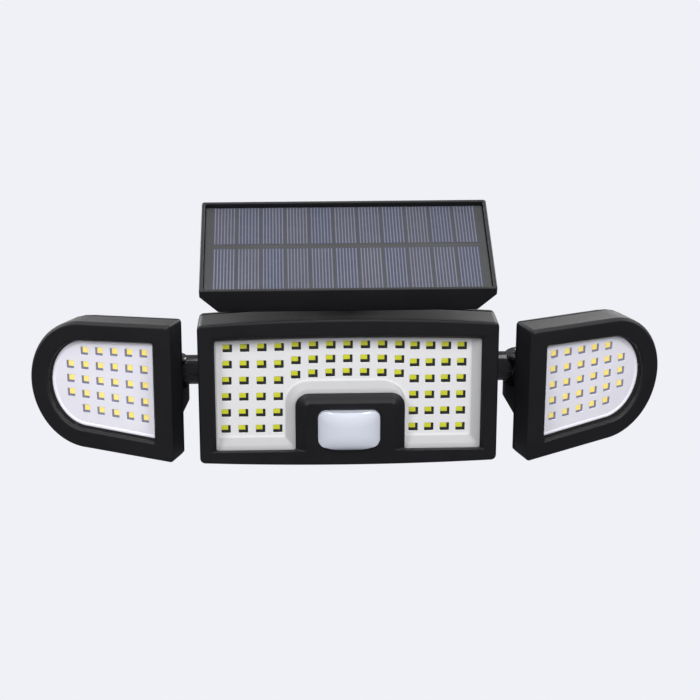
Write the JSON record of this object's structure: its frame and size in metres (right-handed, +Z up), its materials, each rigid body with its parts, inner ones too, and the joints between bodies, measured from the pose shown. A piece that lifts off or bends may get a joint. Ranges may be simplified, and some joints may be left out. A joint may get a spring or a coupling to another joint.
{
  "type": "solar flood light",
  "caption": "Wall flood light with a wide main head, motion sensor, round-ended side heads on jointed arms and a tilting solar panel.",
  "frame": {"origin": "middle of the wall plate's back face, which lies on the wall", "axes": "+Z up, +Y into the wall, -Y the way the lamp looks, +X to the right as the wall is faced"},
  "size_m": [0.3006, 0.09, 0.1122],
  "materials": {
    "black_housing": "fine-textured moulded plastic",
    "white_reflector": "satin white",
    "clear_cover": "clear, polished",
    "sensor_lens": "milky, satin",
    "led_board": "black solder mask with yellow LEDs",
    "circuit_board": "green solder mask",
    "black_rubber": "matt",
    "battery_cell": "plastic sleeve over a steel can",
    "solar_cells": "laminated, smooth",
    "zinc_steel": "zinc plated"
  },
  "bodies": {
    "wall_bracket": {"wall_plate": "black_housing", "tilt_bolt": "zinc_steel", "tilt_nut": "zinc_steel"},
    "main_head": {"main_bezel": "black_housing", "main_lens": "clear_cover", "main_reflector": "white_reflector", "main_led_board": "led_board", "main_gasket": "black_rubber", "main_back_housing": "black_housing", "pir_lens": "sensor_lens", "pir_sensor": "circuit_board", "control_board": "circuit_board", "battery_cell_1": "battery_cell", "battery_cell_2": "battery_cell", "battery_holder": "black_housing", "case_screw_1": "zinc_steel", "case_screw_2": "zinc_steel", "case_screw_3": "zinc_steel", "case_screw_4": "zinc_steel", "panel_pivot_bolt": "zinc_steel", "panel_pivot_nut": "zinc_steel", "button_seal": "black_rubber"},
    "mode_button": {"mode_button": "black_rubber"},
    "left_arm": {"left_arm": "black_housing", "left_arm_retainer": "zinc_steel", "left_hinge_screw": "zinc_steel"},
    "left_head": {"left_bezel": "black_housing", "left_lens": "clear_cover", "left_reflector": "white_reflector", "left_led_board": "led_board", "left_back_cover": "black_housing", "left_case_screw_1": "zinc_steel", "left_case_screw_2": "zinc_steel", "left_case_screw_3": "zinc_steel", "left_hinge_nut": "zinc_steel"},
    "right_arm": {"right_arm": "black_housing", "right_arm_retainer": "zinc_steel", "right_hinge_screw": "zinc_steel"},
    "right_head": {"right_bezel": "black_housing", "right_lens": "clear_cover", "right_reflector": "white_reflector", "right_led_board": "led_board", "right_back_cover": "black_housing", "right_case_screw_1": "zinc_steel", "right_case_screw_2": "zinc_steel", "right_case_screw_3": "zinc_steel", "right_hinge_nut": "zinc_steel"},
    "solar_panel": {"panel_tub": "black_housing", "solar_laminate": "solar_cells", "panel_seal": "black_rubber", "panel_hinge": "black_housing", "hinge_plate_screw_1": "zinc_steel", "hinge_plate_screw_2": "zinc_steel", "hinge_plate_screw_3": "zinc_steel", "hinge_plate_screw_4": "zinc_steel"}
  },
  "joints": [
    {"name": "head_tilt", "type": "hinge", "parent": "wall_bracket", "child": "main_head", "pos_m": [0, -0.026, 0], "axis": [1, 0, 0], "range_deg": [-5, 45]},
    {"name": "panel_tilt", "type": "hinge", "parent": "main_head", "child": "solar_panel", "pos_m": [0, -0.0453, 0.0443], "axis": [-1, 0, 0], "range_deg": [-1, 45]},
    {"name": "left_arm_swivel", "type": "hinge", "parent": "main_head", "child": "left_arm", "pos_m": [-0.066, -0.0556, 0.0027], "axis": [1, 0, 0], "range_deg": [-90, 90]},
    {"name": "left_head_yaw", "type": "hinge", "parent": "left_arm", "child": "left_head", "pos_m": [-0.084, -0.05577, 0.00001], "axis": [0, -0.0645, -0.9979], "range_deg": [-13, 42]},
    {"name": "right_arm_swivel", "type": "hinge", "parent": "main_head", "child": "right_arm", "pos_m": [0.066, -0.0556, 0.0027], "axis": [1, 0, 0], "range_deg": [-90, 90]},
    {"name": "right_head_yaw", "type": "hinge", "parent": "right_arm", "child": "right_head", "pos_m": [0.084, -0.05549, 0], "axis": [0, -0.0401, 0.9992], "range_deg": [-17, 39]},
    {"name": "mode_button_press", "type": "slide", "parent": "main_head", "child": "mode_button", "axis": [0, -1, 0], "range_m": [0, 0.0012], "stiffness_N_per_m": 400, "springref_m": -0.0005}
  ]
}
